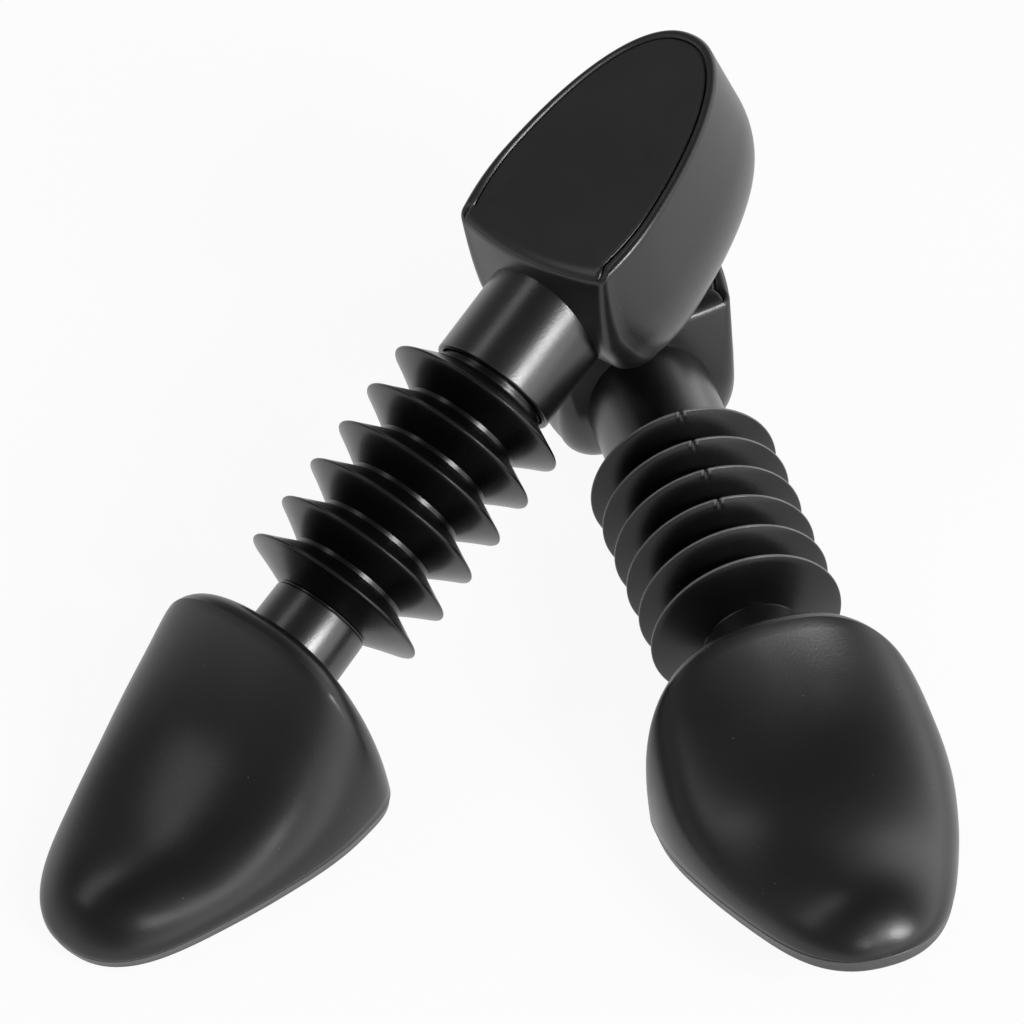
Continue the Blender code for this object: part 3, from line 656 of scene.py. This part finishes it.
def bellows_piece(side, name, outside):
    # Built about the X axis, so that the rims' painted highlight can be marked by their radius before it
    # is placed.
    points, faces = revolve(with_wall(outside), FOLD_SEGMENTS, nick if side == "right" else None)
    item = new_mesh_object(side + "_" + name, points, faces, Matrix.Identity(4))
    # The rim attribute marks where the right bellows' rims get their painted highlight.
    rim_highlight_marks = item.data.attributes.new("rim", "FLOAT", "POINT")
    for vert in item.data.vertices:
        reach = math.hypot(vert.co.y, vert.co.z) - RIM_RADIUS
        light = min(max((reach + RIM_HIGHLIGHT_WIDTH) / RIM_HIGHLIGHT_FADE, 0.0), 1.0)
        rim_highlight_marks.data[vert.index].value = light if side == "right" else 0.0
    item.data.transform(unit_matrix(side))
    dress(item, FOLD)
    return item


def bellows_pieces(side):
    unit = unit_matrix(side)
    outside = long_outside(side)
    folds = bellows_piece(side, "folds", outside)
    root = bellows_piece(side, "root_fold", root_outside(side))
    if side == "left":
        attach(folds, side + "_bellows")
        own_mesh(folds)
    else:
        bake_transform(folds)
    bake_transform(root)
    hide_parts(side + "_bellows")


# Collar and heel

def collar_sleeve(side):
    mouth = collar_mouth(side)
    end = mouth + COLLAR_LENGTH + COLLAR_OVERRUN
    inner = COLLAR_RADIUS - COLLAR_WALL
    profile = [(end, COLLAR_RADIUS), (mouth + COLLAR_EDGE_RUN, COLLAR_RADIUS)]
    centre = (mouth + COLLAR_EDGE, COLLAR_RADIUS - COLLAR_EDGE)
    profile += arc(centre, COLLAR_EDGE, 90, 180, COLLAR_EDGE_STEPS)
    profile += [(mouth + past, radius) for past, radius in COLLAR_BORE_EDGE]
    deep = mouth + COLLAR_BORE_DEPTH
    profile += [(deep, COLLAR_BORE), (deep, inner), (end, inner)]
    points, faces = revolve(profile, COLLAR_SEGMENTS)
    item = new_mesh_object(side + "_collar_sleeve", points, faces, unit_matrix(side))
    dress(item, SATIN)
    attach(item, side + "_heel")
    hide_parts(side + "_heel_collar")


def side_place(share, front_half, full_half):
    draw = (full_half - front_half) * max(1.0 - share / DRAW_SHARE, 0.0) ** 2
    return full_half * (1.0 - share ** OUTLINE_POWER) ** (1.0 / ROUND_POWER) - draw


def heel_outline(front, back, front_half, full_half, corner, bow):
    # A loop from the front's middle round one corner to the back, and mirrored.
    shoulder = front + bow
    length = back - shoulder
    corner_half = side_place(corner / length, front_half, full_half)
    points = []
    for i in range(FRONT_STEPS):
        across = i / FRONT_STEPS
        points.append(Vector((front + bow * across ** 2, across * (corner_half - corner))))
    for i in range(CORNER_STEPS + 1):
        angle = i / CORNER_STEPS * QUARTER
        points.append(Vector((shoulder + corner * (1.0 - math.cos(angle)),
                              corner_half - corner + corner * math.sin(angle))))
    for i in range(1, SIDE_STEPS + 1):
        x = corner + (length - corner) * math.sin(i / SIDE_STEPS * QUARTER)
        points.append(Vector((shoulder + x, side_place(min(x / length, 1.0), front_half, full_half))))
    far = [Vector((p.x, -p.y)) for p in reversed(points[1:-1])]
    return points + far


def rounding(radius, reach):
    within = min(max(reach, 0.0), radius)
    return radius - math.sqrt(radius ** 2 - within ** 2)


def heel_level(height, drawn_in=0.0, edge=TOP_EDGE):
    # The heel's outline at a height over the bellows axis.
    down = (ABOVE - height) / (ABOVE + BELOW)
    up = max(height / ABOVE, 0.0)
    low = min(max(-height / BELOW, 0.0), 1.0)
    under = BOTTOM_INSET * (1.0 - math.sqrt(max(1.0 - low ** 2, 0.0)))
    drawn = under + rounding(edge, height - ABOVE + edge) + drawn_in
    corner = max(TOP_CORNER + (BOTTOM_CORNER - TOP_CORNER) * down - drawn_in, LEAST_CORNER)
    half = HALF_WIDTH + (TOP_HALF - HALF_WIDTH) * up
    front_half = FRONT_HALF + (TOP_FRONT_HALF - FRONT_HALF) * up
    loop = heel_outline(LEAN * up ** LEAN_POWER + drawn, HEEL_LENGTH - drawn, front_half - drawn,
                        half - drawn, corner, FRONT_BOW * up)
    slope = math.tan(BOTTOM_SLOPE) * low
    return [(p.x, p.y, height + slope * p.x) for p in loop]


def front_shares(count):
    # 1 along the front edge, fading to 0 round its corners; the loop starts at the front's middle.
    faded = [min(max((k - FRONT_STEPS) / FADE_STEPS, 0.0), 1.0) for k in range(count // 2 + 1)]
    near = [1.0 - smooth(share) for share in faded]
    return near + list(reversed(near[1:-1]))


def dropped(loop, drop):
    return [(x, y, z - drop) for x, y, z in loop]


def mixed(sides, fronts):
    # Loops that follow one list along the sides and the other along the front.
    out = []
    for along, ahead in zip(sides, fronts):
        rows = zip(along, ahead, front_shares(len(along)))
        out.append([tuple(p + (q - p) * share for p, q in zip(a, b)) for a, b, share in rows])
    return out


def heel_block(side):
    loops = [heel_level(-BELOW * math.cos(i / BELLY_STEPS * QUARTER)) for i in range(BELLY_STEPS + 1)]
    loops += [heel_level(LID_EDGE_START * i / WALL_STEPS) for i in range(1, WALL_STEPS + 1)]
    sides = [heel_level(LID_EDGE_START + RIM_RUN)]
    sides += [heel_level(ABOVE - TOP_EDGE + TOP_EDGE * math.sin(i / EDGE_STEPS * QUARTER))
              for i in range(EDGE_STEPS + 1)]
    sides += [dropped(heel_level(ABOVE, RIM_FLAT * share), drop) for share, drop in RIM_PROFILE]
    # The front has no rim: its wall rounds up to the seam and tucks in under the lid.
    climb = LID_SEAM - LID_EDGE_START
    fronts = [heel_level(LID_EDGE_START + climb * (i + 1) / EDGE_STEPS, edge=LID_FRONT_EDGE)
              for i in range(EDGE_STEPS)]
    inward = len(sides) - len(fronts)
    for i in range(inward):
        share = (i + 1) / inward
        tucked = heel_level(LID_SEAM, RIM_FRONT_TUCK * share, LID_FRONT_EDGE)
        fronts.append(dropped(tucked, RIM_FRONT_DROP * share))
    points, faces = loft(loops + mixed(sides, fronts))
    item = new_mesh_object(side + "_heel_block", points, faces, heel_matrix(side))
    dress(item, BLOCK)
    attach(item, side + "_heel")
    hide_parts(side + "_heel_shell")


def heel_panel(side):
    sides = [dropped(heel_level(ABOVE, RIM_FLAT * share), drop + LID_SINK)
             for share, drop in LID_PROFILE]
    sides.append(dropped(heel_level(ABOVE, LID_MIDDLE), LID_SINK))
    start = LID_SEAM + LID_SEAM_GAP
    fronts = [heel_level(start, drawn, LID_FRONT_EDGE) for drawn in (LID_FRONT_TUCK, LID_FRONT_START)]
    lift = math.asin((start - LID_EDGE_START) / LID_FRONT_EDGE)
    for i in range(LID_FRONT_STEPS + 1):
        angle = lift + (QUARTER - lift) * i / LID_FRONT_STEPS
        height = LID_EDGE_START + LID_FRONT_EDGE * math.sin(angle)
        fronts.append(heel_level(height, edge=LID_FRONT_EDGE))
    flat = heel_level(ABOVE, LID_FRONT_FLAT, LID_FRONT_EDGE)
    fronts.append(dropped(flat, LID_SINK * LID_FRONT_SINK_SHARE))
    fronts.append(dropped(heel_level(ABOVE, LID_FRONT_MIDDLE, LID_FRONT_EDGE), LID_SINK))
    points, faces = loft(mixed(sides, fronts))
    lid = new_mesh_object(side + "_heel_panel", points, faces, heel_matrix(side))
    dress(lid, BLOCK)
    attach(lid, side + "_heel")
    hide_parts(side + "_heel_lid")


for side in SIDES:
    toe_dome(side)
    toe_plate(side)
    neck_sleeve(side)
    bellows_pieces(side)
    collar_sleeve(side)
    heel_block(side)
    heel_panel(side)


# Floor, light and camera

def camera_white(name, level, share):
    # Seen straight on it is nearly the background's white, yet it keeps part of the shading.
    material = bpy.data.materials.new(name)
    tree, output = fresh_tree(material, "ShaderNodeOutputMaterial")
    plain = add_node(tree, "ShaderNodeBsdfDiffuse", {"Color": grey(level)})
    glow = add_node(tree, "ShaderNodeEmission", {"Color": grey(1.0), "Strength": 1.0})
    blend = add_node(tree, "ShaderNodeMixShader")
    path = add_node(tree, "ShaderNodeLightPath")
    seen = add_node(tree, "ShaderNodeMath", operation="ADD")
    part = add_node(tree, "ShaderNodeMath", {1: share}, operation="MULTIPLY")
    join(tree, path, "Is Camera Ray", seen, 0)
    join(tree, path, "Is Glossy Ray", seen, 1)
    join(tree, seen, "Value", part, 0)
    join(tree, part, "Value", blend, "Fac")
    join(tree, plain, "BSDF", blend, 1)
    join(tree, glow, "Emission", blend, 2)
    join(tree, blend, "Shader", output, "Surface")
    return material


def floor_plane():
    mesh = bpy.data.meshes.new("floor")
    work = bmesh.new()
    bmesh.ops.create_grid(work, x_segments=1, y_segments=1, size=FLOOR_SIZE)
    work.to_mesh(mesh)
    work.free()
    item = bpy.data.objects.new("floor", mesh)
    item.location = (0.0, 0.0, -FLOOR_GAP)
    bpy.context.scene.collection.objects.link(item)
    item.data.materials.append(camera_white("floor_white", FLOOR_GREY, FLOOR_GLOW_SHARE))


def softbox(name, direction, width, height, power, turn=0.0):
    # A lamp in that direction from the object, turned by some degrees about its own beam.
    light = bpy.data.lights.new(name, "AREA")
    light.shape = "RECTANGLE"
    light.size = width
    light.size_y = height
    light.energy = power
    item = bpy.data.objects.new(name, light)
    aim = Vector(direction).normalized()
    facing = aim.to_track_quat("Z", "Y").to_matrix().to_4x4()
    spin = Matrix.Rotation(math.radians(turn), 4, "Z")
    item.matrix_world = Matrix.Translation(LAMP_TARGET + aim * LAMP_DISTANCE) @ facing @ spin
    bpy.context.scene.collection.objects.link(item)


def sky_ramp(tree, height, levels):
    # Grey levels by height over the horizon, as (height, level) pairs.
    node = add_node(tree, "ShaderNodeValToRGB")
    first, last = node.color_ramp.elements
    first.position, last.position = levels[0][0], levels[-1][0]
    first.color, last.color = grey(levels[0][1]), grey(levels[-1][1])
    for stop, level in levels[1:-1]:
        node.color_ramp.elements.new(stop).color = grey(level)
    join(tree, height, "Z", node, "Fac")
    return node


def studio_world():
    # A grey sky, brighter on the right, that the camera sees as plain white.
    world = bpy.data.worlds.new("studio")
    bpy.context.scene.world = world
    tree, output = fresh_tree(world, "ShaderNodeOutputWorld")
    bearing = add_node(tree, "ShaderNodeTexCoord")
    split = add_node(tree, "ShaderNodeSeparateXYZ")
    join(tree, bearing, "Generated", split, "Vector")
    turning = add_node(tree, "ShaderNodeMapRange", {"From Min": SKY_TURN[0], "From Max": SKY_TURN[1]},
                       interpolation_type="SMOOTHSTEP")
    join(tree, split, "X", turning, "Value")
    both_skies = add_node(tree, "ShaderNodeMix", data_type="RGBA")
    join(tree, turning, "Result", both_skies, "Factor")
    join(tree, sky_ramp(tree, split, LEFT_SKY), "Color", both_skies, "A")
    join(tree, sky_ramp(tree, split, RIGHT_SKY), "Color", both_skies, "B")
    sky = add_node(tree, "ShaderNodeBackground", {"Strength": SKY_STRENGTH})
    join(tree, both_skies, "Result", sky, "Color")
    clear = add_node(tree, "ShaderNodeBackground", {"Color": grey(1.0), "Strength": 1.0})
    rays = add_node(tree, "ShaderNodeLightPath")
    choose = add_node(tree, "ShaderNodeMixShader")
    join(tree, rays, "Is Camera Ray", choose, "Fac")
    join(tree, sky, "Background", choose, 1)
    join(tree, clear, "Background", choose, 2)
    join(tree, choose, "Shader", output, "Surface")


def place_camera():
    neck = unit_matrix("right").translation
    target = Vector((neck.x - RIGHT_TOE_PLACE[0], neck.y - RIGHT_TOE_PLACE[1], 0.0))
    data = bpy.data.cameras.new("view")
    data.lens = CAMERA_LENS
    data.sensor_width = SENSOR
    camera = bpy.data.objects.new("view", data)
    bpy.context.scene.collection.objects.link(camera)
    away = Vector((0.0, -math.cos(CAMERA_RISE), math.sin(CAMERA_RISE)))
    turn = Matrix.Rotation(QUARTER - CAMERA_RISE, 4, "X") @ Matrix.Rotation(CAMERA_ROLL, 4, "Z")
    camera.matrix_world = Matrix.Translation(target + CAMERA_DISTANCE * away) @ turn
    bpy.context.scene.camera = camera


floor_plane()
softbox("box_right", (0.64, -0.53, 0.56), 0.32, 0.32, 6.6)
softbox("box_front", (0.50, -0.58, 0.64), 0.12, 0.12, 4.0)
softbox("box_low", (0.14, -0.76, 0.63), 0.12, 0.12, 1.4)
softbox("box_left", (-0.56, 0.12, 0.78), 0.32, 1.30, 2.1, 45.0)
studio_world()
place_camera()
bpy.context.scene.view_settings.view_transform = "Standard"
